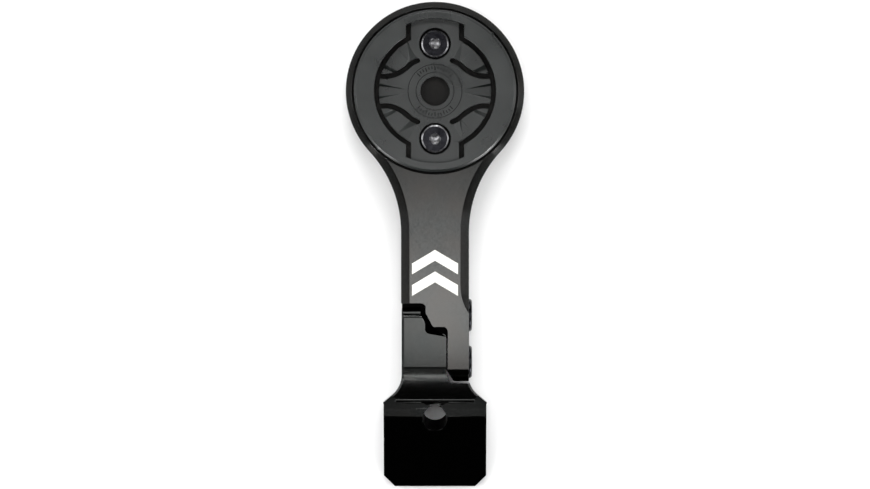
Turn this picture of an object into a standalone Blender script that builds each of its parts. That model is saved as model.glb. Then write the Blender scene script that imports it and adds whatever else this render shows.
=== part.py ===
"""Out-front mount that holds a cycling computer ahead of a handlebar.

An arm carries a round head with a quarter-turn insert. A bracket under the handlebar's nose carries
the arm on a pivot bolt, and a lock bolt holds the tilt. Metres, +Z up, +Y towards the front of the
bicycle, +X towards the bolt heads. The origin is under the middle of the whole length.
"""

import math

import bmesh
import bpy
from mathutils import Matrix, Vector

MM = 0.001

# Overall sizes
OVERALL_LENGTH = 103.6 * MM
ARM_THICKNESS = 9.0 * MM
ARM_HALF_WIDTH = 7.25 * MM
HEAD_RADIUS = 19.05 * MM
NECK_RADIUS = 25.4 * MM
TOP_BEVEL = 1.8 * MM
UNDER_BEVEL = 1.0 * MM
HEAD_Y = OVERALL_LENGTH / 2 - HEAD_RADIUS
REAR_Y = -OVERALL_LENGTH / 2

# Tilt joint
PIVOT_Y = HEAD_Y - 57.85 * MM
PIVOT_Z = ARM_THICKNESS / 2
LOCK_Y = PIVOT_Y + 10.0 * MM
SEAM_TONGUE_X = 2.4 * MM
SEAM_FINGER_X = 2.7 * MM
POCKET_WALL_Y = PIVOT_Y - 4.45 * MM
FINGER_END_Y = PIVOT_Y - 4.1 * MM
FINGER_END_ROUND = 2.6 * MM
NOSE_Y = PIVOT_Y + 11.67 * MM
NOSE_ROUND = 2.2 * MM
FLANGE_THICKNESS = 0.6 * MM
FLANGE_ROOM = 0.3 * MM
TILT_ROOM = math.radians(6.5)

# Bracket and its seat for the handlebar's nose
TONGUE_HALF_WIDTH = 7.1 * MM
SEAT_HALF_WIDTH = 10.95 * MM
SEAT_TILT = math.radians(24.0)
RISE_START_Y = PIVOT_Y - 0.95 * MM
RISE_END_Y = PIVOT_Y - 7.85 * MM
RISE_START_SLOPE = math.radians(7.0)
RISE_RADIUS = 27.3 * MM
LIP_Y = PIVOT_Y - 8.3 * MM
LIP_HALF_WIDTH = 8.4 * MM
LIP_STEP = 1.4 * MM
LIP_RELIEF_WIDTH = 0.4 * MM
LIP_RELIEF_DEPTH = 0.45 * MM
BAND_SLOPE = math.radians(7.5)
BAND_RIDGE_Y = PIVOT_Y - 9.85 * MM
BAND_END_Y = PIVOT_Y - 11.45 * MM
BAND_ROUND = 2.4 * MM
SCOOP_RADIUS = 5.0 * MM
SCOOP_Y = PIVOT_Y - 4.35 * MM
EAR_HALF_WIDTH = 11.1 * MM
EAR_FRONT_X = 9.2 * MM
EAR_FRONT_Y = PIVOT_Y - 7.0 * MM
FLARE_RADIUS = 5.55 * MM
FLARE_Y = PIVOT_Y - 2.65 * MM
REAR_CORNER = 2.35 * MM
EDGE_CHAMFER = 0.45 * MM

# M5 hole for the handlebar's own bolt
SEAT_HOLE_Y = PIVOT_Y - 12.15 * MM
SEAT_HOLE_RADIUS = 2.65 * MM
SEAT_WALL = 5.3 * MM
UNDER_COUNTERBORE_RADIUS = 4.5 * MM

# Quarter-turn insert
POCKET_RADIUS = 17.8 * MM
POCKET_FLOOR_Z = 3.5 * MM
INSERT_RADIUS = 17.3 * MM
INSERT_BOTTOM_Z = 3.8 * MM
INSERT_FLOOR_Z = 6.2 * MM
LIP_UNDERSIDE_Z = 7.9 * MM
INSERT_TOP_Z = 9.5 * MM
OPENING_RADIUS = 13.0 * MM
TAB_RADIUS = 15.4 * MM
TAB_HALF_WIDTH = 6.2 * MM
FLOOR_EDGE_RADIUS = 12.05 * MM
FLOOR_HALF_WIDTH = 5.15 * MM
HUB_HOLE_RADIUS = 3.1 * MM
SPRING_SLOT_WIDTH = 1.07 * MM
RAMP_HEIGHT = 0.6 * MM
VALLEY_DEPTH = 0.55 * MM
HEAD_RECESS_RADIUS = 3.37 * MM
HEAD_RECESS_FLOOR_Z = 5.0 * MM
COUNTERSINK_RIM = 2.3 * MM
SHANK_HOLE_RADIUS = 1.6 * MM
KEY_RADIUS = 0.6 * MM
KEY_PLACE = 16.9 * MM
INSERT_EDGE = 0.45 * MM
SCREW_OFFSET = 10.16 * MM

# M4 low-head bolts and M3 countersunk screws
BOLT_HEAD_RADIUS = 3.5 * MM
BOLT_HEAD_HEIGHT = 2.8 * MM
BOLT_HEAD_PROUD = 0.65 * MM
BOLT_RADIUS = 2.0 * MM
BOLT_CORE_RADIUS = 1.7 * MM
COUNTERBORE_RADIUS = 3.7 * MM
COUNTERBORE_FLOOR_X = 4.3 * MM
WASHER_THICKNESS = 0.5 * MM
SCREW_HEAD_RADIUS = 2.95 * MM
SCREW_CORE_RADIUS = 1.25 * MM
SCREW_LENGTH = 5.75 * MM
SCREW_SINK = 0.15 * MM

ROUND_STEPS = 64
RISE_STEPS = 14
FAR = 30 * MM
SIDE_VIEW = Matrix(((0, 0, 1, 0), (1, 0, 0, 0), (0, 1, 0, 0), (0, 0, 0, 1)))


def clear_scene():
    for item in list(bpy.data.objects):
        bpy.data.objects.remove(item, do_unlink=True)


def new_collection(name):
    collection = bpy.data.collections.new(name)
    bpy.context.scene.collection.children.link(collection)
    return collection


def principled(name, colour, roughness, metallic):
    material = bpy.data.materials.new(name)
    material.use_nodes = True
    shader = material.node_tree.nodes["Principled BSDF"]
    shader.inputs["Base Color"].default_value = (*colour, 1.0)
    shader.inputs["Roughness"].default_value = roughness
    shader.inputs["Metallic"].default_value = metallic
    return material


def anodised_aluminium(name):
    return principled(name, (0.055, 0.056, 0.056), 0.42, 1.0)


def black_polymer(name):
    return principled(name, (0.028, 0.030, 0.030), 0.5, 0.0)


def black_steel(name):
    return principled(name, (0.05, 0.05, 0.052), 0.3, 1.0)


def add_object(name, mesh, collection, material=None):
    item = bpy.data.objects.new(name, mesh)
    collection.objects.link(item)
    if material:
        mesh.materials.append(material)
        mesh.shade_smooth()
        mesh.set_sharp_from_angle(angle=math.radians(30))
    else:
        item.hide_render = True
        item.display_type = "WIRE"
    return item


def boolean(target, cutter, operation="DIFFERENCE"):
    modifier = target.modifiers.new(cutter.name, "BOOLEAN")
    modifier.operation = operation
    modifier.object = cutter
    modifier.solver = "EXACT"


def rounded(corners, steps=8):
    """An outline through corners (x, y, radius), each turned into an arc of its radius."""
    outline = []
    for index, (x, y, radius) in enumerate(corners):
        corner = Vector((x, y))
        before = (Vector(corners[index - 1][:2]) - corner).normalized()
        after = (Vector(corners[(index + 1) % len(corners)][:2]) - corner).normalized()
        if radius == 0:
            outline.append(corner)
            continue
        half = before.angle(after) / 2
        middle = corner + (before + after).normalized() * radius / math.sin(half)
        start = corner + before * radius / math.tan(half) - middle
        end = corner + after * radius / math.tan(half) - middle
        turn = start.angle_signed(end)
        for step in range(steps + 1):
            outline.append(middle + Matrix.Rotation(-turn * step / steps, 2) @ start)
    return outline


def arc(centre, radius, start, end, steps):
    """Points of an arc, angles in degrees from +X."""
    points = []
    for step in range(steps + 1):
        angle = math.radians(start + (end - start) * step / steps)
        points.append(Vector((centre[0] + radius * math.cos(angle), centre[1] + radius * math.sin(angle))))
    return points


def moved(corners, x, y):
    return [(corner[0] + x, corner[1] + y, *corner[2:]) for corner in corners]


def plate(name, outline, low, high, collection, material=None, view=None):
    """A flat outline extruded from low to high, along +Z or along the depth of another view."""
    curve = bpy.data.curves.new(name, "CURVE")
    curve.dimensions = "2D"
    curve.fill_mode = "BOTH"
    curve.extrude = (high - low) / 2
    spline = curve.splines.new("POLY")
    spline.points.add(len(outline) - 1)
    for point, place in zip(spline.points, outline):
        point.co = (place[0], place[1], 0, 1)
    spline.use_cyclic_u = True
    guide = bpy.data.objects.new(name + "_outline", curve)
    bpy.context.scene.collection.objects.link(guide)
    guide.location.z = (high + low) / 2
    bpy.context.view_layer.update()
    mesh = bpy.data.meshes.new_from_object(guide.evaluated_get(bpy.context.evaluated_depsgraph_get()))
    mesh.transform(guide.matrix_world)
    bpy.data.objects.remove(guide, do_unlink=True)
    mesh.materials.clear()
    if view:
        mesh.transform(view)
    weld(mesh)
    return add_object(name, mesh, collection, material)


def weld(mesh):
    shape = bmesh.new()
    shape.from_mesh(mesh)
    bmesh.ops.remove_doubles(shape, verts=shape.verts, dist=1e-7)
    bmesh.ops.recalc_face_normals(shape, faces=shape.faces)
    shape.to_mesh(mesh)
    shape.free()


def cylinder(name, radius, start, end, collection, steps=ROUND_STEPS, end_radius=None):
    """A cylinder or cone from one point to another."""
    start = Vector(start)
    along = Vector(end) - start
    shape = bmesh.new()
    bmesh.ops.create_cone(
        shape,
        cap_ends=True,
        segments=steps,
        radius1=radius,
        radius2=radius if end_radius is None else end_radius,
        depth=along.length,
        matrix=Matrix.Translation(start + along / 2) @ along.to_track_quat("Z", "Y").to_matrix().to_4x4(),
    )
    mesh = bpy.data.meshes.new(name)
    shape.to_mesh(mesh)
    shape.free()
    return add_object(name, mesh, collection)


def box(name, low, high, collection):
    low = Vector(low)
    high = Vector(high)
    shape = bmesh.new()
    bmesh.ops.create_cube(shape, size=1.0)
    bmesh.ops.scale(shape, vec=high - low, verts=shape.verts)
    bmesh.ops.translate(shape, vec=(high + low) / 2, verts=shape.verts)
    mesh = bpy.data.meshes.new(name)
    shape.to_mesh(mesh)
    shape.free()
    return add_object(name, mesh, collection)


def turned(name, profile, collection, material, steps=ROUND_STEPS):
    """A profile of (radius, height) points, top to bottom, turned about Z."""
    mesh = bpy.data.meshes.new(name)
    points = [(radius, 0, height) for radius, height in profile]
    mesh.from_pydata(points, [(i, i + 1) for i in range(len(points) - 1)], [])
    item = add_object(name, mesh, collection, material)
    screw = item.modifiers.new("turn", "SCREW")
    screw.steps = steps
    screw.render_steps = steps
    screw.use_merge_vertices = True
    screw.merge_threshold = 1e-6
    screw.use_smooth_shade = True
    return item


def loft(name, rings, collection, material=None):
    """A closed solid through rings of equal length, flat at both ends."""
    shape = bmesh.new()
    loops = [[shape.verts.new(point) for point in ring] for ring in rings]
    count = len(loops[0])
    for lower, upper in zip(loops, loops[1:]):
        for index in range(count):
            after = (index + 1) % count
            shape.faces.new((lower[index], lower[after], upper[after], upper[index]))
    shape.faces.new(reversed(loops[0]))
    shape.faces.new(loops[-1])
    bmesh.ops.remove_doubles(shape, verts=shape.verts, dist=1e-6)
    bmesh.ops.recalc_face_normals(shape, faces=shape.faces)
    mesh = bpy.data.meshes.new(name)
    shape.to_mesh(mesh)
    shape.free()
    return add_object(name, mesh, collection, material)


def edge_chamfer(name, path, leg, collection):
    """A four-sided tube along a right-angled edge, which cuts it at 45 degrees."""
    curve = bpy.data.curves.new(name, "CURVE")
    curve.dimensions = "3D"
    curve.twist_mode = "Z_UP"
    curve.bevel_depth = leg
    curve.bevel_resolution = 0
    curve.use_fill_caps = True
    spline = curve.splines.new("POLY")
    spline.points.add(len(path) - 1)
    for point, place in zip(spline.points, path):
        point.co = (*place, 1)
    guide = bpy.data.objects.new(name + "_path", curve)
    bpy.context.scene.collection.objects.link(guide)
    bpy.context.view_layer.update()
    mesh = bpy.data.meshes.new_from_object(guide.evaluated_get(bpy.context.evaluated_depsgraph_get()))
    bpy.data.objects.remove(guide, do_unlink=True)
    weld(mesh)
    return add_object(name, mesh, collection)


def bevel_at(y):
    """Width of the arm's top bevel on the bolt side, which runs out before the lock bolt's head."""
    start = HEAD_Y - 41.5 * MM
    reach = 5.9 * MM
    radius = (reach**2 + TOP_BEVEL**2) / (2 * TOP_BEVEL)
    along = min(max(start - y, 0.0), reach)
    return max(TOP_BEVEL - radius + math.sqrt(radius**2 - along**2), 0.0)


def arm_outline():
    """Outline points of the arm with their outward directions and top bevel widths."""
    centre_x = ARM_HALF_WIDTH + NECK_RADIUS
    drop = math.sqrt((HEAD_RADIUS + NECK_RADIUS) ** 2 - centre_x**2)
    meet = math.degrees(math.atan2(drop, centre_x))
    neck_y = HEAD_Y - drop
    right = Vector((1, 0))
    points = []
    points.append((Vector((ARM_HALF_WIDTH, FINGER_END_Y - 1 * MM)), right, 0.0))
    for behind in (47.4, 47, 46, 45, 44, 43, 41.5):
        y = HEAD_Y - behind * MM
        points.append((Vector((ARM_HALF_WIDTH, y)), right, bevel_at(y)))
    for point in arc((centre_x, neck_y), NECK_RADIUS, 180, 180 - meet, 14):
        outward = (Vector((centre_x, neck_y)) - point).normalized()
        points.append((point, outward, TOP_BEVEL))
    for point in arc((0, HEAD_Y), HEAD_RADIUS, -meet, 180 + meet, 84)[1:-1]:
        points.append((point, (point - Vector((0, HEAD_Y))).normalized(), TOP_BEVEL))
    for point in arc((-centre_x, neck_y), NECK_RADIUS, meet, 0, 14):
        outward = (Vector((-centre_x, neck_y)) - point).normalized()
        points.append((point, outward, TOP_BEVEL))
    points.append((Vector((-ARM_HALF_WIDTH, FINGER_END_Y - 1 * MM)), -right, TOP_BEVEL))
    return points


def arm_blank(parts):
    outline = arm_outline()
    rings = []
    rings.append([(*(point - out * UNDER_BEVEL), 0) for point, out, _ in outline])
    rings.append([(*point, UNDER_BEVEL) for point, _, _ in outline])
    rings.append([(*point, ARM_THICKNESS - bevel) for point, _, bevel in outline])
    rings.append([(*(point - out * bevel), ARM_THICKNESS) for point, out, bevel in outline])
    return loft("arm", rings, parts, anodised_aluminium("arm_anodised"))


def make_arm(parts, cutters):
    arm = arm_blank(parts)
    floor = (0, HEAD_Y, POCKET_FLOOR_Z)
    boolean(arm, cylinder("head_pocket", POCKET_RADIUS, floor, (0, HEAD_Y, FAR), cutters, 96))
    for side, label in ((1, "front"), (-1, "rear")):
        y = HEAD_Y + side * SCREW_OFFSET
        hole = cylinder("screw_hole_" + label, SHANK_HOLE_RADIUS, (0, y, -MM), (0, y, FAR), cutters, 32)
        boolean(arm, hole)
    notch = rounded(
        moved(
            [
                (-9 * MM, 12.52 * MM, 0),
                (-2.02 * MM, 12.52 * MM, 1.05 * MM),
                (-2.02 * MM, 10.6 * MM, 1.2 * MM),
                (-0.45 * MM, 7.52 * MM, 0.6 * MM),
                (SEAM_FINGER_X, 7.52 * MM, 1.1 * MM),
                (SEAM_FINGER_X, -2.0 * MM, 0),
                (4.3 * MM, -4.6 * MM, 0),
                (4.3 * MM, -8 * MM, 0),
                (-9 * MM, -8 * MM, 0),
            ],
            0,
            PIVOT_Y,
        )
    )
    boolean(arm, plate("tongue_notch", notch, -MM, FAR, cutters))
    cut_flange_room(arm, cutters)
    profile = rounded(
        [
            (FINGER_END_Y - 4 * MM, -5 * MM, 0),
            (PIVOT_Y + MM, -5 * MM, 0),
            (PIVOT_Y + MM, 0, 0),
            (FINGER_END_Y, 0, FINGER_END_ROUND),
            (FINGER_END_Y, ARM_THICKNESS, FINGER_END_ROUND),
            (PIVOT_Y + MM, ARM_THICKNESS, 0),
            (PIVOT_Y + MM, ARM_THICKNESS + 5 * MM, 0),
            (FINGER_END_Y - 4 * MM, ARM_THICKNESS + 5 * MM, 0),
        ]
    )
    boolean(arm, plate("finger_end", profile, -FAR, FAR, cutters, view=SIDE_VIEW))
    for label, y, radius in (("pivot", PIVOT_Y, 2.15 * MM), ("lock", LOCK_Y, BOLT_RADIUS)):
        hole = cylinder(label + "_hole", radius, (-3 * MM, y, PIVOT_Z), (FAR, y, PIVOT_Z), cutters, 48)
        boolean(arm, hole)
        floor = (COUNTERBORE_FLOOR_X, y, PIVOT_Z)
        boolean(arm, cylinder(label + "_counterbore", COUNTERBORE_RADIUS, floor, (FAR, y, PIVOT_Z), cutters))
    return arm


def rise_at(y):
    """Height of the bracket's top, which leaves the flat at a crease and curves up to the lip."""
    before = RISE_RADIUS * math.sin(RISE_START_SLOPE)
    along = before + min(max(RISE_START_Y - y, 0.0), RISE_START_Y - RISE_END_Y)
    low = RISE_RADIUS * math.cos(RISE_START_SLOPE)
    return ARM_THICKNESS + low - math.sqrt(RISE_RADIUS**2 - along**2)


def bracket_plan():
    ear = (EAR_HALF_WIDTH, -8.6 * MM, 0)
    flare = (TONGUE_HALF_WIDTH, -5.24 * MM, FLARE_RADIUS)
    rear = REAR_Y - PIVOT_Y
    right = [
        (SEAT_HALF_WIDTH - REAR_CORNER, rear, 0),
        (SEAT_HALF_WIDTH, rear + REAR_CORNER, 0),
        (SEAT_HALF_WIDTH, -8.9 * MM, 0),
        ear,
        flare,
        (TONGUE_HALF_WIDTH, NOSE_Y - PIVOT_Y, 0),
    ]
    left = [(-x, y, radius) for x, y, radius in reversed(right)]
    return moved(right + left, 0, PIVOT_Y)


def seat_profile():
    """Side view of the space above the seat: sloping band, flat ridge, round, then the tilted seat."""
    band = rise_at(RISE_END_Y) - LIP_STEP
    front = LIP_Y + 3 * MM
    reach = 25 * MM
    back = BAND_END_Y - reach
    points = [Vector((front, band - (front - BAND_RIDGE_Y) * math.tan(BAND_SLOPE)))]
    points.append(Vector((BAND_RIDGE_Y, band)))
    points += arc((BAND_END_Y, band - BAND_ROUND), BAND_ROUND, 90, 90 + math.degrees(SEAT_TILT), 8)
    points.append(Vector((back, seat_height(back))))
    points.append(Vector((back, FAR)))
    points.append(Vector((front, FAR)))
    return points


def seat_height(y):
    """Height of the tilted seat's plane."""
    round_end = BAND_END_Y - BAND_ROUND * math.sin(SEAT_TILT)
    start = rise_at(RISE_END_Y) - LIP_STEP - BAND_ROUND * (1 - math.cos(SEAT_TILT))
    return start - (round_end - y) * math.tan(SEAT_TILT)


def cut_seat(bracket, cutters):
    space = plate("seat_space", seat_profile(), -FAR, FAR, cutters, view=SIDE_VIEW)
    lip_end_y = EAR_FRONT_Y - (EAR_FRONT_X - LIP_HALF_WIDTH)
    right = [(LIP_HALF_WIDTH, LIP_Y), (LIP_HALF_WIDTH, lip_end_y), (EAR_FRONT_X, EAR_FRONT_Y)]
    right += [(FAR, EAR_FRONT_Y), (FAR, REAR_Y - FAR)]
    behind = [(-x, y) for x, y in reversed(right)] + right
    boolean(space, plate("behind_lip", behind, -FAR, 2 * FAR, cutters), "INTERSECT")
    boolean(bracket, space)
    band = rise_at(RISE_END_Y) - LIP_STEP
    low = (-LIP_HALF_WIDTH, LIP_Y - LIP_RELIEF_WIDTH, band - LIP_RELIEF_DEPTH)
    boolean(bracket, box("lip_relief", low, (LIP_HALF_WIDTH, LIP_Y + 0.02 * MM, band + 0.3 * MM), cutters))
    half_angle = 33.0
    scoop = arc((0, SCOOP_Y), SCOOP_RADIUS, 270 - half_angle, 270 + half_angle, 12)
    boolean(bracket, plate("seat_scoop", scoop, band - MM, band + 0.3 * MM, cutters))


def cut_seat_hole(bracket, cutters):
    normal = Vector((0, -math.sin(SEAT_TILT), math.cos(SEAT_TILT)))
    top = Vector((0, SEAT_HOLE_Y, seat_height(SEAT_HOLE_Y)))
    hole = cylinder("seat_hole", SEAT_HOLE_RADIUS, top + normal * 4 * MM, top - normal * 12 * MM, cutters, 48)
    boolean(bracket, hole)
    sink = top - normal * SEAT_WALL
    wide = cylinder("seat_counterbore", UNDER_COUNTERBORE_RADIUS, sink, sink - normal * 12 * MM, cutters, 64)
    boolean(bracket, wide)


def cut_joint(bracket, cutters):
    beside = rounded(
        moved(
            [
                (-3.07 * MM, 14 * MM, 0),
                (-3.07 * MM, 10.1 * MM, 0.4 * MM),
                (-2.1 * MM, 8.3 * MM, 0.8 * MM),
                (-2.1 * MM, 6.1 * MM, 1.1 * MM),
                (SEAM_TONGUE_X, 6.1 * MM, 0.85 * MM),
                (SEAM_TONGUE_X, -2.45 * MM, 0.8 * MM),
                (3.25 * MM, POCKET_WALL_Y - PIVOT_Y, 0.3 * MM),
                (12 * MM, POCKET_WALL_Y - PIVOT_Y, 0),
                (12 * MM, 14 * MM, 0),
            ],
            0,
            PIVOT_Y,
        )
    )
    boolean(bracket, plate("arm_space", beside, -MM, FAR, cutters))
    thread = cylinder(
        "pivot_thread", BOLT_RADIUS, (-FAR, PIVOT_Y, PIVOT_Z), (FAR, PIVOT_Y, PIVOT_Z), cutters, 48
    )
    boolean(bracket, thread)
    groove_half = 2.4 * MM
    groove = rounded(
        [
            (LOCK_Y - 1.55 * MM, PIVOT_Z - groove_half, 1.0 * MM),
            (LOCK_Y + 4 * MM, PIVOT_Z - groove_half, 0),
            (LOCK_Y + 4 * MM, PIVOT_Z + groove_half, 0),
            (LOCK_Y - 1.55 * MM, PIVOT_Z + groove_half, 1.0 * MM),
        ]
    )
    boolean(bracket, plate("lock_groove", groove, -5.1 * MM, 0, cutters, view=SIDE_VIEW))


def flange_outline():
    """Plan of the thin flange that closes the joint's gap from below."""
    corners = [
        (-TONGUE_HALF_WIDTH, 5.0 * MM),
        (3.6 * MM, 5.0 * MM),
        (3.6 * MM, 8.4 * MM),
        (0.15 * MM, 8.4 * MM),
        (-1.1 * MM, 10.9 * MM),
        (-1.1 * MM, 13.4 * MM),
        (-TONGUE_HALF_WIDTH, 13.4 * MM),
    ]
    return moved(corners, 0, PIVOT_Y)


def cut_flange_room(arm, cutters):
    """Undercuts the arm over the flange, deeper towards the front where the tilt moves it further."""
    low_y = PIVOT_Y + 4.35 * MM
    high_y = PIVOT_Y + 14.0 * MM
    base = FLANGE_THICKNESS + FLANGE_ROOM
    near = base + (low_y - PIVOT_Y) * math.tan(TILT_ROOM)
    far = base + (high_y - PIVOT_Y) * math.tan(TILT_ROOM)
    profile = [(low_y, -MM), (high_y, -MM), (high_y, far), (low_y, near)]
    wedge = plate("flange_room", profile, -FAR, FAR, cutters, view=SIDE_VIEW)
    corners = [
        (-FAR, 4 * MM),
        (3.95 * MM, 4 * MM),
        (3.95 * MM, 9.05 * MM),
        (0.6 * MM, 9.05 * MM),
        (-0.55 * MM, 11.35 * MM),
        (-0.55 * MM, 15 * MM),
        (-FAR, 15 * MM),
    ]
    region = plate("flange_room_plan", moved(corners, 0, PIVOT_Y), -FAR, FAR, cutters)
    boolean(wedge, region, "INTERSECT")
    boolean(arm, wedge)


def cut_bracket_top(bracket, cutters):
    top = [Vector((NOSE_Y + 3 * MM, ARM_THICKNESS - NOSE_ROUND))]
    top += arc((NOSE_Y - NOSE_ROUND, ARM_THICKNESS - NOSE_ROUND), NOSE_ROUND, 0, 90, 8)
    span = RISE_START_Y - RISE_END_Y
    for step in range(RISE_STEPS + 1):
        y = RISE_START_Y - span * step / RISE_STEPS
        top.append(Vector((y, rise_at(y))))
    top.append(Vector((REAR_Y - 5 * MM, rise_at(RISE_END_Y))))
    top.append(Vector((REAR_Y - 5 * MM, FAR)))
    top.append(Vector((NOSE_Y + 3 * MM, FAR)))
    boolean(bracket, plate("above_bracket", top, -FAR, FAR, cutters, view=SIDE_VIEW))


def chamfer_bracket(bracket, cutters):
    """Breaks the long top edge of the tongue's left side and both flares up to the ears."""
    for side, label in ((-1, "left"), (1, "right")):
        path = [(side * TONGUE_HALF_WIDTH, y, ARM_THICKNESS) for y in (NOSE_Y + MM, RISE_START_Y)]
        for angle in range(0, 51, 5):
            x = TONGUE_HALF_WIDTH + FLARE_RADIUS * (1 - math.cos(math.radians(angle)))
            y = FLARE_Y - FLARE_RADIUS * math.sin(math.radians(angle))
            path.append((side * x, y, rise_at(y)))
        path.append((side * 10.5 * MM, RISE_END_Y, rise_at(RISE_END_Y)))
        boolean(bracket, edge_chamfer("chamfer_" + label, path, EDGE_CHAMFER, cutters))


def make_bracket(parts, cutters):
    bracket = plate(
        "base_bracket", rounded(bracket_plan()), 0, 14 * MM, parts, anodised_aluminium("bracket_anodised")
    )
    cut_bracket_top(bracket, cutters)
    cut_seat(bracket, cutters)
    cut_seat_hole(bracket, cutters)
    cut_joint(bracket, cutters)
    flange = plate("flange", flange_outline(), 0, FLANGE_THICKNESS, cutters)
    boolean(bracket, flange, "UNION")
    chamfer_bracket(bracket, cutters)
    return bracket


def smooth_path(points, steps=4):
    """A Catmull-Rom curve through the points."""
    padded = [points[0], *points, points[-1]]
    path = []
    for a, b, c, d in zip(padded, padded[1:], padded[2:], padded[3:]):
        bend = 2 * a - 5 * b + 4 * c - d
        twist = 3 * b - a - 3 * c + d
        for step in range(steps):
            t = step / steps
            path.append(0.5 * (2 * b + (c - a) * t + bend * t**2 + twist * t**3))
    path.append(points[-1])
    return path


def slot_centreline():
    """Middle of one spring slot, from its round inner end out to the gap under the lip."""
    places = ((3.72, 6.54), (4.98, 5.94), (6.32, 4.81), (7.64, 3.94), (8.98, 3.41), (10.3, 3.15), (12.4, 3.3))
    return smooth_path([Vector((x * MM, y * MM)) for x, y in places])


def ribbon(path, width):
    """Outline of a band along a path, with a round first end."""
    left = []
    right = []
    for index, point in enumerate(path):
        along = path[min(index + 1, len(path) - 1)] - path[max(index - 1, 0)]
        across = Vector((-along.y, along.x)).normalized() * width / 2
        left.append(point + across)
        right.append(point - across)
    start = right[0] - path[0]
    end = [path[0] + Matrix.Rotation(-math.pi * step / 8, 2) @ start for step in range(1, 8)]
    return left + right[::-1] + end


def ramp(name, mirror_x, mirror_y, cutters):
    """One detent ramp: up from the floor, along a plateau, and steeply down."""
    skin = 0.02 * MM
    stations = ((29, 7.6, skin), (42, 7.8, RAMP_HEIGHT), (52, 7.95, RAMP_HEIGHT), (62, 8.6, RAMP_HEIGHT))
    rings = []
    for angle, start, rise in (*stations, (66, 9.0, skin)):
        turn = math.radians(angle)
        across = Vector((mirror_x * math.sin(turn), mirror_y * math.cos(turn), 0))
        near = Vector((0, HEAD_Y, 0)) + across * start * MM
        far = Vector((0, HEAD_Y, 0)) + across * (FLOOR_EDGE_RADIUS - skin)
        low = Vector((0, 0, INSERT_FLOOR_Z - 1.2 * MM))
        high = Vector((0, 0, INSERT_FLOOR_Z + rise))
        rings.append([near + low, far + low, far + high, near + high])
    return loft(name, rings, cutters)


def valley(name, side, cutters):
    """The tapered channel in a spring tongue, deepest at the tongue's tip."""
    above = 0.6 * MM
    tip = (13.2 * MM, 1.3 * MM, VALLEY_DEPTH * 1.15)
    root = (6.1 * MM, 0.36 * MM, 0.01 * MM)
    rings = []
    for x, half, sink in (tip, root):
        low = INSERT_FLOOR_Z - sink
        high = INSERT_FLOOR_Z + above
        spread = half + sink + above
        ring = [(side * x, HEAD_Y - half, low), (side * x, HEAD_Y + half, low)]
        ring += [(side * x, HEAD_Y + spread, high), (side * x, HEAD_Y - spread, high)]
        rings.append(ring)
    return loft(name, rings, cutters)


def insert_opening():
    """The computer's entry: a circle with a tab slot at its front and rear."""
    edge = math.degrees(math.asin(TAB_HALF_WIDTH / TAB_RADIUS))
    neck = math.degrees(math.asin(TAB_HALF_WIDTH / OPENING_RADIUS))
    centre = (0, HEAD_Y)
    outline = arc(centre, OPENING_RADIUS, -90 + neck, 90 - neck, 40)
    outline += arc(centre, TAB_RADIUS, 90 - edge, 90 + edge, 14)
    outline += arc(centre, OPENING_RADIUS, 90 + neck, 270 - neck, 40)
    outline += arc(centre, TAB_RADIUS, 270 - edge, 270 + edge, 14)
    return outline


def floor_window(side):
    """The gap through the floor under one lip, from the floor's round edge out to the ring."""
    outer = math.degrees(math.acos(FLOOR_HALF_WIDTH / TAB_RADIUS))
    inner = math.degrees(math.acos(FLOOR_HALF_WIDTH / FLOOR_EDGE_RADIUS))
    centre = (0, HEAD_Y)
    outline = arc(centre, TAB_RADIUS, -outer, outer, 36)
    outline += arc(centre, FLOOR_EDGE_RADIUS, inner, -inner, 36)
    return [Vector((side * point.x, point.y)) for point in outline]


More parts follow.
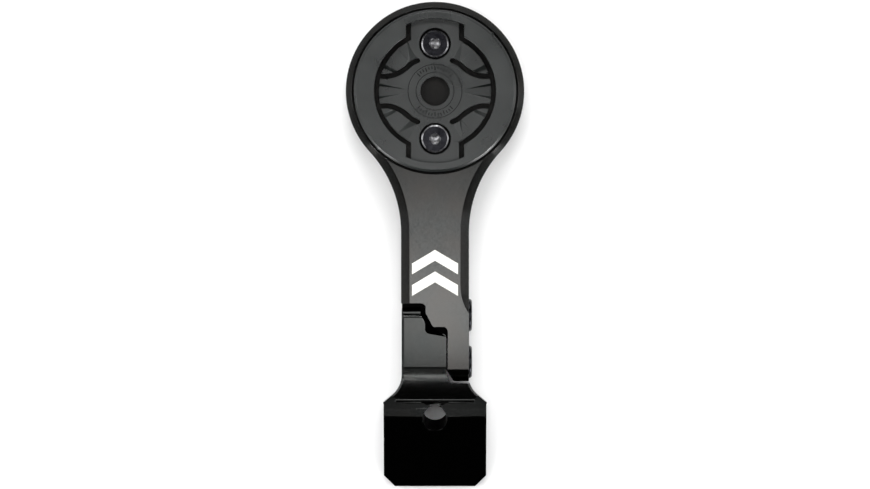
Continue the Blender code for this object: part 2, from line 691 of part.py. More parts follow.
def make_insert(parts, cutters):
    profile = [
        (0, INSERT_TOP_Z),
        (INSERT_RADIUS - INSERT_EDGE, INSERT_TOP_Z),
        (INSERT_RADIUS, INSERT_TOP_Z - INSERT_EDGE),
        (INSERT_RADIUS, INSERT_BOTTOM_Z),
        (0, INSERT_BOTTOM_Z),
    ]
    insert = turned("quarter_turn_insert", profile, parts, black_polymer("insert_polymer"), 96)
    insert.location.y = HEAD_Y
    for angle, label in ((45, "right"), (225, "left")):
        x = KEY_PLACE * math.cos(math.radians(angle))
        y = HEAD_Y + KEY_PLACE * math.sin(math.radians(angle))
        top = INSERT_TOP_Z - INSERT_EDGE
        key = cylinder("key_" + label, KEY_RADIUS, (x, y, INSERT_BOTTOM_Z), (x, y, top), cutters, 24)
        boolean(insert, key, "UNION")
    boolean(insert, plate("entry", insert_opening(), INSERT_FLOOR_Z, FAR, cutters))
    under_lip = cylinder(
        "under_lip", TAB_RADIUS, (0, HEAD_Y, INSERT_FLOOR_Z), (0, HEAD_Y, LIP_UNDERSIDE_Z), cutters, 96
    )
    boolean(insert, under_lip)
    for x, y, label in ((1, 1, "ne"), (-1, 1, "nw"), (-1, -1, "sw"), (1, -1, "se")):
        boolean(insert, ramp("ramp_" + label, x, y, cutters), "UNION")
    for side, label in ((1, "right"), (-1, "left")):
        boolean(insert, plate("window_" + label, floor_window(side), 0, LIP_UNDERSIDE_Z - 0.4 * MM, cutters))
        boolean(insert, valley("valley_" + label, side, cutters))
    band = ribbon(slot_centreline(), SPRING_SLOT_WIDTH)
    for x, y, label in ((1, 1, "ne"), (-1, 1, "nw"), (-1, -1, "sw"), (1, -1, "se")):
        outline = [Vector((x * point.x, HEAD_Y + y * point.y)) for point in band]
        boolean(insert, plate("slot_" + label, outline, 0, LIP_UNDERSIDE_Z - 0.3 * MM, cutters))
    over_floor = INSERT_FLOOR_Z + MM
    hub = cylinder("hub_hole", HUB_HOLE_RADIUS, (0, HEAD_Y, 0), (0, HEAD_Y, over_floor), cutters, 48)
    boolean(insert, hub)
    stepped = [
        (0, over_floor),
        (HEAD_RECESS_RADIUS, over_floor),
        (HEAD_RECESS_RADIUS, HEAD_RECESS_FLOOR_Z),
        (COUNTERSINK_RIM, HEAD_RECESS_FLOOR_Z),
        (SHANK_HOLE_RADIUS, HEAD_RECESS_FLOOR_Z - (COUNTERSINK_RIM - SHANK_HOLE_RADIUS)),
        (SHANK_HOLE_RADIUS, 0),
        (0, 0),
    ]
    for side, label in ((1, "front"), (-1, "rear")):
        hole = turned("stepped_hole_" + label, stepped, cutters, None, 48)
        hole.location.y = HEAD_Y + side * SCREW_OFFSET
        boolean(insert, hole)
    return insert


def make_screw(name, side, parts, cutters):
    """An M3 countersunk screw with a 2 mm hexagon socket."""
    edge = 0.2 * MM
    taper = SCREW_HEAD_RADIUS - SCREW_CORE_RADIUS
    profile = [
        (0, 0),
        (SCREW_HEAD_RADIUS, 0),
        (SCREW_HEAD_RADIUS, -edge),
        (SCREW_CORE_RADIUS, -edge - taper),
        (SCREW_CORE_RADIUS, 0.4 * MM - SCREW_LENGTH),
        (SCREW_CORE_RADIUS - 0.4 * MM, -SCREW_LENGTH),
        (0, -SCREW_LENGTH),
    ]
    screw = turned(name, profile, parts, black_steel(name + "_steel"), 40)
    place = Vector((0, HEAD_Y + side * SCREW_OFFSET, INSERT_FLOOR_Z - SCREW_SINK))
    screw.location = place
    deep = place - Vector((0, 0, 1.2 * MM))
    socket = cylinder(name + "_socket", 1.155 * MM, deep, place + Vector((0, 0, MM)), cutters, 6)
    boolean(screw, socket)
    return screw


def make_bolt(name, y, tip_x, tip_radius, neck_x, parts, cutters):
    """An M4 low-head bolt along X with a 2.5 mm hexagon socket."""
    head = BOLT_HEAD_HEIGHT
    top_x = ARM_HALF_WIDTH + BOLT_HEAD_PROUD
    edge = 0.6 * MM
    profile = [(0, 0)]
    for angle in (90, 67.5, 45, 22.5, 0):
        out = edge * math.cos(math.radians(angle))
        up = edge * math.sin(math.radians(angle))
        profile.append((BOLT_HEAD_RADIUS - edge + out, up - edge))
    profile += [
        (BOLT_HEAD_RADIUS, -head),
        (BOLT_RADIUS, -head),
        (BOLT_RADIUS, neck_x - top_x),
        (tip_radius, neck_x - top_x),
        (tip_radius, tip_x - top_x + 0.3 * MM),
        (tip_radius - 0.3 * MM, tip_x - top_x),
        (0, tip_x - top_x),
    ]
    bolt = turned(name, profile, parts, black_steel(name + "_steel"), 48)
    bolt.location = (top_x, y, PIVOT_Z)
    bolt.rotation_euler.y = math.pi / 2
    start = (top_x - 1.5 * MM, y, PIVOT_Z)
    boolean(bolt, cylinder(name + "_socket", 1.443 * MM, start, (top_x + MM, y, PIVOT_Z), cutters, 6))
    return bolt


def make_washer(parts):
    gap = 0.15 * MM
    outer = 3.4 * MM
    inner = 2.2 * MM
    top = WASHER_THICKNESS
    profile = [(inner, 0), (inner, top), (outer, top), (outer, 0), (inner, 0)]
    washer = turned("pivot_washer", profile, parts, black_steel("washer_steel"), 48)
    washer.location = (COUNTERBORE_FLOOR_X + gap, PIVOT_Y, PIVOT_Z)
    washer.rotation_euler.y = math.pi / 2
    return washer


def hang_on_pivot(items, parts):
    """Parents the moving pieces to an empty on the tilt axis, where they stand."""
    axis = bpy.data.objects.new("tilt_axis", None)
    axis.location = (0, PIVOT_Y, PIVOT_Z)
    parts.objects.link(axis)
    bpy.context.view_layer.update()
    for item in items:
        item.parent = axis
        item.matrix_parent_inverse = axis.matrix_world.inverted()


def build():
    clear_scene()
    parts = new_collection("computer_mount")
    cutters = new_collection("cutters")
    arm = make_arm(parts, cutters)
    make_bracket(parts, cutters)
    insert = make_insert(parts, cutters)
    front = make_screw("insert_screw_front", 1, parts, cutters)
    rear = make_screw("insert_screw_rear", -1, parts, cutters)
    lock = make_bolt("lock_bolt", LOCK_Y, -4.8 * MM, 1.25 * MM, -0.9 * MM, parts, cutters)
    make_bolt("pivot_bolt", PIVOT_Y, -6.9 * MM, BOLT_CORE_RADIUS, 2.55 * MM, parts, cutters)
    make_washer(parts)
    hang_on_pivot([arm, insert, front, rear, lock], parts)
    bpy.context.view_layer.update()


build()
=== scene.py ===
"""Out-front mount for a cycling computer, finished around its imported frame.

Metres, in the part's own frame: +Z up out of the head, +Y forward, +X towards the bolt heads.
"""

import math

import bmesh
import bpy
from mathutils import Matrix, Vector


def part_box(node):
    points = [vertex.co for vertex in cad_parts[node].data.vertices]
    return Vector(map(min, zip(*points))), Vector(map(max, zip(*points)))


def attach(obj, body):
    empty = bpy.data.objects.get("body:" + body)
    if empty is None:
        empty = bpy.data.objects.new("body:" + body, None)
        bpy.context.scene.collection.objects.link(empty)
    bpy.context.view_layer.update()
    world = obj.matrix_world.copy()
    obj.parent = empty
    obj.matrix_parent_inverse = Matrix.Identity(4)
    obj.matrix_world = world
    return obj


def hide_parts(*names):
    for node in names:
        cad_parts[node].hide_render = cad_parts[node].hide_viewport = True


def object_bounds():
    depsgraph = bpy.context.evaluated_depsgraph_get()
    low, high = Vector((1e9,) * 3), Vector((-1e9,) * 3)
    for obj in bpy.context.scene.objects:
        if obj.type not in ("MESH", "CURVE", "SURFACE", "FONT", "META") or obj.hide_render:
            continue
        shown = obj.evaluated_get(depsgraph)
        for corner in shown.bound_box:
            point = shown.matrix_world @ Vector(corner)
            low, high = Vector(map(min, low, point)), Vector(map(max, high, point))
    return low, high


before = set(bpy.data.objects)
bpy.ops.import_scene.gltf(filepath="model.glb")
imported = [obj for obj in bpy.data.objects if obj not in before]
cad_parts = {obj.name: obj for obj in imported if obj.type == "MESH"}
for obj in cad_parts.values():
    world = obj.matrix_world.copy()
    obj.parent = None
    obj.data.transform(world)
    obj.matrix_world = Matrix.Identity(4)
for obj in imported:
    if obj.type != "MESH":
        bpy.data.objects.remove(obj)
cad_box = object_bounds()


# --- Base bracket ------------------------------------------------------------------------------
# Milled from one aluminium bar, its edges broken with a small cutter, tumbled and anodised black.
# It bolts up under the handlebar's nose and carries the arm on its tongue.

MM = 0.001
SHORT_EDGE = 0.02 * MM  # edges shorter than this are closed up
WELD = SHORT_EDGE / 8
FLAT_ANGLE = math.radians(0.8)  # neighbours that bend less than this are one flat face
SHARP_ANGLE = math.radians(31)  # edges that bend more than this are rounded
BROAD = 0.5 * MM  # a face with more room than this is broad
LEVEL = 0.85  # and level where its normal stands at least this steep
ROOM_SHARE = 0.4  # a round takes at most this share of the room beside it
BRACKET_EDGE = 0.10 * MM


def refined(name, node, edge, body, flat=FLAT_ANGLE, segments=2, cuts=()):
    """The node's solid with its flat faces whole, fine cuts added and its edges broken by small rounds."""
    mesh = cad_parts[node].data.copy()
    mesh.materials.clear()
    reshape(mesh, clean, flat)
    piece = add_piece(name, mesh)
    if cuts:
        engrave(piece, cuts)
        reshape(piece.data, clean, flat)
    piece.data.shade_smooth()
    reshape(piece.data, weigh_edges, edge)
    finish_edges(piece, edge, segments)
    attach(piece, body)
    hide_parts(node)
    return piece


def add_piece(name, data):
    piece = bpy.data.objects.new(name, data)
    bpy.context.scene.collection.objects.link(piece)
    return piece


def reshape(mesh, change, *values):
    """Runs a change on the mesh's shape and writes it back."""
    shape = bmesh.new()
    shape.from_mesh(mesh)
    change(shape, *values)
    shape.to_mesh(mesh)
    shape.free()


def clean(shape, flat):
    """Welds the solid, joins the triangles of each flat face and closes up its shortest edges."""
    bmesh.ops.remove_doubles(shape, verts=shape.verts, dist=WELD)
    bmesh.ops.dissolve_degenerate(shape, edges=shape.edges, dist=SHORT_EDGE)
    bmesh.ops.dissolve_limit(shape, angle_limit=flat, verts=shape.verts, edges=shape.edges)
    bmesh.ops.dissolve_degenerate(shape, edges=shape.edges, dist=SHORT_EDGE)


def engrave(piece, cuts):
    """Cuts the closed shapes in cuts out of the piece."""
    cutter = add_piece(piece.name + "_cuts", bpy.data.meshes.new(piece.name + "_cuts"))
    joined = bmesh.new()
    for cut in cuts:
        joined.from_mesh(cut)
    joined.to_mesh(cutter.data)
    joined.free()
    modifier = piece.modifiers.new("fine_cuts", "BOOLEAN")
    modifier.operation = "DIFFERENCE"
    modifier.solver = "EXACT"
    modifier.use_self = True
    modifier.object = cutter
    bpy.context.view_layer.update()
    cut_piece = piece.evaluated_get(bpy.context.evaluated_depsgraph_get())
    result = bpy.data.meshes.new_from_object(cut_piece)
    piece.modifiers.clear()
    piece.data = result
    bpy.data.objects.remove(cutter, do_unlink=True)


def weigh_edges(shape, width):
    """Gives each sharp outer edge a bevel weight that fits its room, and keeps broad level faces flat."""
    layer = shape.edges.layers.float.new("bevel_weight_edge")
    room = {face: 2 * face.calc_area() / face.calc_perimeter() for face in shape.faces}
    shortest = {vert: min(edge.calc_length() for edge in vert.link_edges) for vert in shape.verts}
    for face in shape.faces:
        face.smooth = abs(face.normal.z) < LEVEL or room[face] < BROAD
    for edge in shape.edges:
        if not edge.is_convex or len(edge.link_faces) != 2 or edge.calc_face_angle() < SHARP_ANGLE:
            continue
        space = min([shortest[vert] for vert in edge.verts] + [room[face] for face in edge.link_faces])
        edge[layer] = min(1.0, ROOM_SHARE * space / width)


def finish_edges(piece, edge, segments):
    """Rounds the weighed edges and keeps the flat faces shaded flat beside them."""
    bevel = piece.modifiers.new("broken_edges", "BEVEL")
    bevel.width = edge
    bevel.segments = segments
    bevel.limit_method = "WEIGHT"
    bevel.use_clamp_overlap = False
    bevel.miter_outer = "MITER_ARC"
    shading = piece.modifiers.new("flat_faces", "WEIGHTED_NORMAL")
    shading.weight = 60
    shading.keep_sharp = True


def new_group(name, inputs, outputs):
    """An empty node group with float inputs and outputs."""
    group = bpy.data.node_groups.new(name, "ShaderNodeTree")
    for label, value in inputs:
        socket = group.interface.new_socket(label, in_out="INPUT", socket_type="NodeSocketFloat")
        socket.default_value = value
    for label in outputs:
        group.interface.new_socket(label, in_out="OUTPUT", socket_type="NodeSocketFloat")
    return group, group.nodes.new("NodeGroupInput"), group.nodes.new("NodeGroupOutput")


def add_node(tree, kind, **settings):
    node = tree.nodes.new("ShaderNode" + kind)
    for key, value in settings.items():
        setattr(node, key, value)
    return node


def feed(tree, socket, value):
    """Sets a socket to a number or colour, or links an output to it."""
    if isinstance(value, bpy.types.NodeSocket):
        tree.links.new(value, socket)
    elif isinstance(value, tuple) and socket.type == "RGBA":
        socket.default_value = (*value, 1.0)
    else:
        socket.default_value = value


def noise(tree, place, scale, detail=2.0, roughness=0.5):
    """A noise of the given number of features to the metre."""
    texture = add_node(tree, "TexNoise")
    feed(tree, texture.inputs["Vector"], place)
    feed(tree, texture.inputs["Scale"], scale)
    texture.inputs["Detail"].default_value = detail
    texture.inputs["Roughness"].default_value = roughness
    return texture.outputs["Fac"]


def calc(tree, operation, first, second=0.0):
    node = add_node(tree, "Math", operation=operation)
    feed(tree, node.inputs[0], first)
    feed(tree, node.inputs[1], second)
    return node.outputs[0]


def remap(tree, value, low, high, to_low=0.0, to_high=1.0):
    """Stretches low to high over to_low to to_high, and holds it there beyond them."""
    node = add_node(tree, "MapRange", clamp=True)
    for label, number in (("From Min", low), ("From Max", high), ("To Min", to_low), ("To Max", to_high)):
        node.inputs[label].default_value = number
    feed(tree, node.inputs["Value"], value)
    return node.outputs["Result"]


def mix_colour(tree, amount, first, second):
    """First where amount is 0, second where it is 1, by the Mix node's own colour sockets."""
    node = add_node(tree, "Mix", data_type="RGBA")
    feed(tree, node.inputs[0], amount)
    feed(tree, node.inputs[6], first)
    feed(tree, node.inputs[7], second)
    return node.outputs[2]


def grain_group():
    """Tumbled grain: fine pits for relief, their speckle, and broad cloudy patches."""
    inputs = [("Grain per metre", 5200.0), ("Patches per metre", 140.0)]
    group, given, made = new_group("tumbled_grain", inputs, ["Relief", "Speckle", "Patches"])
    place = add_node(group, "TexCoord").outputs["Object"]
    fine = noise(group, place, given.outputs["Grain per metre"], 3.0, 0.65)
    coarse = noise(group, place, calc(group, "MULTIPLY", given.outputs["Grain per metre"], 0.37))
    relief = calc(group, "ADD", calc(group, "MULTIPLY", fine, 0.6), calc(group, "MULTIPLY", coarse, 0.4))
    patches = noise(group, place, given.outputs["Patches per metre"], 3.0, 0.55)
    feed(group, made.inputs["Relief"], relief)
    feed(group, made.inputs["Speckle"], remap(group, relief, 0.36, 0.64))
    feed(group, made.inputs["Patches"], remap(group, patches, 0.34, 0.66))
    return group


def wear_group():
    """Worn edges: strong where the surface bends sharply, broken up by a coarse noise."""
    group, given, made = new_group("edge_wear", [("Reach", 0.22 * MM)], ["Wear"])
    softened = add_node(group, "Bevel", samples=6)
    feed(group, softened.inputs["Radius"], given.outputs["Reach"])
    facing = add_node(group, "VectorMath", operation="DOT_PRODUCT")
    feed(group, facing.inputs[0], softened.outputs["Normal"])
    feed(group, facing.inputs[1], add_node(group, "NewGeometry").outputs["Normal"])
    bend = remap(group, facing.outputs["Value"], 0.99, 0.80)
    place = add_node(group, "TexCoord").outputs["Object"]
    broken = remap(group, noise(group, place, 900.0, 3.0, 0.6), 0.35, 0.62, 0.25, 1.0)
    feed(group, made.inputs["Wear"], calc(group, "MULTIPLY", bend, broken))
    return group


GRAIN = grain_group()
WEAR = wear_group()


def start_material(name):
    material = bpy.data.materials.new(name)
    material.use_nodes = True
    return material, material.node_tree, material.node_tree.nodes["Principled BSDF"]


def place_group(tree, group, **values):
    node = add_node(tree, "Group", node_tree=group)
    for label, value in values.items():
        node.inputs[label.replace("_", " ")].default_value = value
    return node


def vary_roughness(tree, shader, mask, smooth, rough):
    """Roughness from smooth where the mask is 0 to rough where it is 1."""
    feed(tree, shader.inputs["Roughness"], remap(tree, mask, 0.0, 1.0, smooth, rough))


def add_bump(tree, shader, height, strength, distance):
    bump = add_node(tree, "Bump")
    bump.inputs["Strength"].default_value = strength
    bump.inputs["Distance"].default_value = distance
    feed(tree, bump.inputs["Height"], height)
    feed(tree, shader.inputs["Normal"], bump.outputs["Normal"])


def anodised(name, dark, light, brown):
    """Black anodised aluminium: tinted metal with fine grain, faint brown clouds and paler edges."""
    material, tree, shader = start_material(name)
    grain = place_group(tree, GRAIN)
    wear = place_group(tree, WEAR)
    colour = mix_colour(tree, grain.outputs["Speckle"], dark, light)
    colour = mix_colour(tree, calc(tree, "MULTIPLY", grain.outputs["Patches"], 0.6), colour, brown)
    worn = calc(tree, "MULTIPLY", wear.outputs["Wear"], 0.6)
    feed(tree, shader.inputs["Base Color"], mix_colour(tree, worn, colour, (0.10, 0.10, 0.10)))
    shader.inputs["Metallic"].default_value = 1.0
    vary_roughness(tree, shader, grain.outputs["Speckle"], smooth=0.12, rough=0.17)
    add_bump(tree, shader, grain.outputs["Relief"], strength=0.25, distance=0.01 * MM)
    return material


def painted_shade_floor(name):
    """Painted shade for low floors and the seat hole's walls: dull and nearly black, standing in for the
    shade that falls in slots, gaps and holes.
    """
    material, tree, shader = start_material(name)
    grain = place_group(tree, GRAIN)
    colour = mix_colour(tree, grain.outputs["Patches"], (0.0030, 0.0030, 0.0030), (0.0050, 0.0048, 0.0046))
    feed(tree, shader.inputs["Base Color"], colour)
    shader.inputs["Metallic"].default_value = 1.0
    vary_roughness(tree, shader, grain.outputs["Speckle"], smooth=0.50, rough=0.60)
    add_bump(tree, shader, grain.outputs["Relief"], strength=0.3, distance=0.01 * MM)
    return material


# Painted shade: a near-black material standing in for the shade in slots, the joint gap and holes.
NEAR_BLACK_SHADE = painted_shade_floor("painted_shade_floor")


def coat(piece, material, chosen=None):
    """Gives the piece another material, on all of its faces or on the chosen ones."""
    index = len(piece.data.materials)
    piece.data.materials.append(material)
    for face in piece.data.polygons:
        if chosen is None or chosen(face):
            face.material_index = index


UPWARD = 0.5  # a floor's normal stands at least this steep
SHADED_FLOOR_TOP_Z = 3.0 * MM
SEAT_HOLE_AT = Vector((0.0, -37.3 * MM))
SEAT_HOLE_REACH = 5.2 * MM
SEAT_HOLE_TOP_Z = 8.2 * MM
SEAT_HOLE_STEEP = 0.6  # the hole's walls lean less than this out of upright
BAND_TILT = (math.radians(7.0), math.radians(8.0))
BAND_LOW_Z = 8.5 * MM


def is_shaded_low_floor(face):
    return face.normal.z > UPWARD and face.center.z < SHADED_FLOOR_TOP_Z


def gets_painted_shade(face):
    """Low floors, and the walls of the hole through the seat, which get painted shade."""
    near_hole = (Vector(face.center[:2]) - SEAT_HOLE_AT).length < SEAT_HOLE_REACH
    is_wall = abs(face.normal.z) < SEAT_HOLE_STEEP and face.center.z < SEAT_HOLE_TOP_Z
    return is_shaded_low_floor(face) or (near_hole and is_wall)


def is_shaded_band(face):
    """The narrow step between the lip and the seat, and the ears at its ends, which get a darker copy of the
    anodising as painted shade.
    """
    tilt = face.normal.angle(Vector((0, 0, 1)))
    return BAND_TILT[0] < tilt < BAND_TILT[1] and face.center.z > BAND_LOW_Z


bracket = refined("bracket_body", "base_bracket", BRACKET_EDGE, "base")
bracket_anodised = anodised(
    "bracket_anodised",
    dark=(0.0078, 0.0085, 0.0083),
    light=(0.0168, 0.0176, 0.0173),
    brown=(0.0140, 0.0136, 0.0129),
)
coat(bracket, bracket_anodised)
# Painted shade on the bracket's low floors and on the walls of the seat hole.
coat(bracket, NEAR_BLACK_SHADE, gets_painted_shade)
# A darker copy of the bracket's anodising: painted shade on the band and the ears.
band_anodised_painted_shade = anodised(
    "band_anodised_painted_shade",
    dark=(0.0036, 0.0039, 0.0038),
    light=(0.0052, 0.0056, 0.0055),
    brown=(0.0048, 0.0046, 0.0044),
)
coat(bracket, band_anodised_painted_shade, is_shaded_band)


# --- Arm -----------------------------------------------------------------------------------------
# The second milled piece: round head, waisted neck, straight bar, stepped notch and long finger.
# Same tumbled black anodising, a little browner where the dye is thin. The pocket's floor keeps the
# rings of the end mill.

ARM_EDGE = 0.08 * MM
ARM_FLAT_ANGLE = math.radians(1.3)
POCKET_FLOOR_Z = 3.5 * MM
POCKET_FLOOR_SPREAD = 0.01 * MM
POCKET_FLOOR_LEVEL = 0.9  # its normal stands at least this steep


def ring_marks_group():
    """Fine rings left by a rotating cutter round the place (0, Centre)."""
    group, given, made = new_group("ring_marks", [("Centre", 0.0), ("Rings per metre", 6000.0)], ["Rings"])
    apart = add_node(group, "SeparateXYZ")
    feed(group, apart.inputs[0], add_node(group, "TexCoord").outputs["Object"])
    along = calc(group, "SUBTRACT", apart.outputs["Y"], given.outputs["Centre"])
    along_squared = calc(group, "POWER", along, 2.0)
    across_squared = calc(group, "POWER", apart.outputs["X"], 2.0)
    radius = calc(group, "SQRT", calc(group, "ADD", along_squared, across_squared))
    wave = calc(group, "SINE", calc(group, "MULTIPLY", radius, given.outputs["Rings per metre"]))
    feed(group, made.inputs["Rings"], remap(group, wave, -1.0, 1.0))
    return group


RING_MARKS = ring_marks_group()


def milled_floor(name, centre_y):
    """The pocket's floor: dull black anodising over the end mill's rings."""
    material, tree, shader = start_material(name)
    grain = place_group(tree, GRAIN)
    rings = place_group(tree, RING_MARKS, Centre=centre_y)
    colour = mix_colour(tree, grain.outputs["Patches"], (0.010, 0.010, 0.010), (0.014, 0.0135, 0.013))
    feed(tree, shader.inputs["Base Color"], colour)
    shader.inputs["Metallic"].default_value = 1.0
    vary_roughness(tree, shader, rings.outputs["Rings"], smooth=0.40, rough=0.48)
    add_bump(tree, shader, rings.outputs["Rings"], strength=0.3, distance=0.004 * MM)
    return material


def is_pocket_floor(face):
    at_depth = abs(face.center.z - POCKET_FLOOR_Z) < POCKET_FLOOR_SPREAD
    return at_depth and face.normal.z > POCKET_FLOOR_LEVEL


arm = refined("arm_body", "arm", ARM_EDGE, "arm", ARM_FLAT_ANGLE)
arm_anodised = anodised(
    "arm_anodised",
    dark=(0.0120, 0.0126, 0.0123),
    light=(0.0258, 0.0263, 0.0259),
    brown=(0.0215, 0.0198, 0.0185),
)
insert_low, insert_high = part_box("quarter_turn_insert")
HEAD_Y = (insert_low[1] + insert_high[1]) / 2
coat(arm, arm_anodised)
coat(arm, milled_floor("pocket_floor", HEAD_Y), is_pocket_floor)
# Painted shade on the arm's low floors in the joint gap.
coat(arm, NEAR_BLACK_SHADE, is_shaded_low_floor)


# --- Mark on the arm -----------------------------------------------------------------------------
# A plain pair of white chevrons pointing forward, printed on the arm's top: which end faces ahead.
# A skin of paint, 0.03 mm thick.

MARK_Y = HEAD_Y - 36.8 * MM
MARK_PITCH = 4.6 * MM
MARK_HALF_WIDTH = 4.9 * MM
MARK_STROKE = 2.3 * MM
MARK_RISE = 2.9 * MM
MARK_Z = 9.002 * MM  # the arm's top is at 9 mm
PAINT = 0.03 * MM


def drawn(name, draw, *values):
    """A new mesh drawn by the given function."""
    mesh = bpy.data.meshes.new(name)
    reshape(mesh, draw, *values)
    return mesh


def draw_chevron(shape, y):
    """One arrowhead of even stroke, its point forward, as a thin closed plate."""
    points = [(-MARK_HALF_WIDTH, y), (0, y + MARK_RISE), (MARK_HALF_WIDTH, y)]
    outline = points + [(x, place - MARK_STROKE) for x, place in reversed(points)]
    lower = shape.faces.new([shape.verts.new((x, place, MARK_Z)) for x, place in outline])
    raised = bmesh.ops.extrude_face_region(shape, geom=[lower])
    moved = [item for item in raised["geom"] if isinstance(item, bmesh.types.BMVert)]
    bmesh.ops.translate(shape, vec=(0, 0, PAINT), verts=moved)


def draw_mark(shape):
    for row in (0, 1):
        draw_chevron(shape, MARK_Y - row * MARK_PITCH)
    bmesh.ops.recalc_face_normals(shape, faces=shape.faces)


def painted(name):
    """Worn white paint with a faint orange-peel surface."""
    material, tree, shader = start_material(name)
    grain = place_group(tree, GRAIN, Grain_per_metre=3000.0, Patches_per_metre=500.0)
    colour = mix_colour(tree, grain.outputs["Patches"], (0.72, 0.72, 0.66), (0.80, 0.80, 0.75))
    feed(tree, shader.inputs["Base Color"], colour)
    vary_roughness(tree, shader, grain.outputs["Speckle"], smooth=0.45, rough=0.6)
    add_bump(tree, shader, grain.outputs["Relief"], strength=0.2, distance=0.01 * MM)
    return material


mark = add_piece("direction_mark", drawn("direction_mark", draw_mark))
coat(mark, painted("mark_paint"))
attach(mark, "arm")


# --- Quarter-turn insert -------------------------------------------------------------------------
# Moulded from black glass-filled nylon: a ring with two lips, a floor with spring tongues and ramps.
# Two keys on its rim sit in the arm's pocket, and two screws hold it down.

INSERT_EDGE = 0.05 * MM
# Below this height the nylon is darkened as painted shade.
SHADE_BELOW_Z = 5.5 * MM
SHADE_FADE = 0.2 * MM


def moulded(name, dark, light, rubbed, shine):
    """Matte black nylon with a fine spark-eroded texture and rubbed edges, rougher low in the recesses,
    where painted shade darkens it to near black.
    """
    material, tree, shader = start_material(name)
    grain = place_group(tree, GRAIN, Grain_per_metre=7000.0, Patches_per_metre=110.0)
    wear = place_group(tree, WEAR, Reach=0.15 * MM)
    colour = mix_colour(tree, grain.outputs["Patches"], dark, light)
    worn = calc(tree, "MULTIPLY", wear.outputs["Wear"], 0.35)
    colour = mix_colour(tree, worn, colour, rubbed)
    # Painted shade: low in the recesses the colour fades to near black, where shade falls.
    apart = add_node(tree, "SeparateXYZ")
    feed(tree, apart.inputs[0], add_node(tree, "TexCoord").outputs["Object"])
    painted_shade_amount = remap(tree, apart.outputs["Z"], SHADE_BELOW_Z, SHADE_BELOW_Z - SHADE_FADE)
    feed(tree, shader.inputs["Base Color"], mix_colour(tree, painted_shade_amount, colour, (0.003, 0.003, 0.003)))
    rough = remap(tree, grain.outputs["Patches"], 0.0, 1.0, 0.24, 0.38)
    feed(tree, shader.inputs["Roughness"], calc(tree, "ADD", rough, calc(tree, "MULTIPLY", painted_shade_amount, 0.4)))
    shader.inputs["Specular IOR Level"].default_value = shine
    add_bump(tree, shader, grain.outputs["Relief"], strength=0.3, distance=0.012 * MM)
    return material


def is_shaded_recess(face):
    return face.normal.z > UPWARD and face.center.z < SHADE_BELOW_Z


insert = refined("insert_body", "quarter_turn_insert", INSERT_EDGE, "arm", segments=1)
insert_nylon = moulded(
    "insert_nylon",
    dark=(0.0060, 0.0075, 0.0071),
    light=(0.0115, 0.0135, 0.0130),
    rubbed=(0.030, 0.033, 0.032),
    shine=0.42,
)
# A darker, less shiny copy of the nylon: painted shade on the recess floors.
insert_recess_painted_shade = moulded(
    "insert_recess_painted_shade",
    dark=(0.0020, 0.0022, 0.0021),
    light=(0.0035, 0.0038, 0.0037),
    rubbed=(0.010, 0.011, 0.011),
    shine=0.05,
)
coat(insert, insert_nylon)
coat(insert, insert_recess_painted_shade, is_shaded_recess)


# --- Scale round the hub -------------------------------------------------------------------------
# Two fine circles, with ticks between them ahead of the hub and behind it, raised from the insert's
# floor in the mould. Same black nylon, matte from the etched lines of the tool, and coloured darker
# as painted shade that stands in for the shadow in engraved lines.

INSERT_FLOOR_Z = 6.2 * MM
LINE_WIDTH = 0.15 * MM
LINE_HEIGHT = 0.05 * MM
LINE_ROOT = 0.01 * MM  # the lines reach this far into the floor
RING_RADII = (4.05 * MM, 5.75 * MM)
RING_STEPS = 96
TICK_WIDTH = 1.4 * LINE_WIDTH
TICK_PITCH = math.radians(7.5)
TICKS_EACH_WAY = 6
LONG_TICK_EVERY = 3
LONG_TICK_START = 4.45 * MM
SHORT_TICK_START = 4.75 * MM
TICK_END = 5.35 * MM


def turned(shape, section, steps, place):
    """A closed ring: the section's corners, each a radius and a height, turned round and put in place."""
    rings = []
    for step in range(steps):
        turn = 2 * math.pi * step / steps
        around = Vector((math.cos(turn), math.sin(turn), 0))
        rings.append([shape.verts.new(place @ (reach * around + Vector((0, 0, z)))) for reach, z in section])
    for step in range(steps):
        after = rings[(step + 1) % steps]
        for corner in range(len(section)):
            follow = (corner + 1) % len(section)
            shape.faces.new((rings[step][corner], after[corner], after[follow], rings[step][follow]))


def draw_ring(shape, radius):
    """A fine raised circle round the hub, square in section."""
    inner = radius - LINE_WIDTH / 2
    outer = radius + LINE_WIDTH / 2
    section = ((inner, -LINE_ROOT), (outer, -LINE_ROOT), (outer, LINE_HEIGHT), (inner, LINE_HEIGHT))
    turned(shape, section, RING_STEPS, Matrix.Translation((0, HEAD_Y, INSERT_FLOOR_Z)))


def draw_tick(shape, angle, start):
    """A small raised bar pointing out from the hub."""
    box = bmesh.ops.create_cube(shape, size=1.0)["verts"]
    bmesh.ops.scale(shape, vec=(TICK_END - start, TICK_WIDTH, LINE_HEIGHT + LINE_ROOT), verts=box)
    middle = ((start + TICK_END) / 2, 0, INSERT_FLOOR_Z + (LINE_HEIGHT - LINE_ROOT) / 2)
    bmesh.ops.translate(shape, vec=middle, verts=box)
    bmesh.ops.rotate(shape, cent=(0, 0, 0), matrix=Matrix.Rotation(angle, 3, "Z"), verts=box)
    bmesh.ops.translate(shape, vec=(0, HEAD_Y, 0), verts=box)


def draw_scale(shape):
    for radius in RING_RADII:
        draw_ring(shape, radius)
    for side in (math.pi / 2, 3 * math.pi / 2):
        for step in range(-TICKS_EACH_WAY, TICKS_EACH_WAY + 1):
            start = SHORT_TICK_START if step % LONG_TICK_EVERY else LONG_TICK_START
            draw_tick(shape, side + step * TICK_PITCH, start)
    bmesh.ops.recalc_face_normals(shape, faces=shape.faces)


hub_scale = add_piece("hub_scale", drawn("hub_scale", draw_scale))
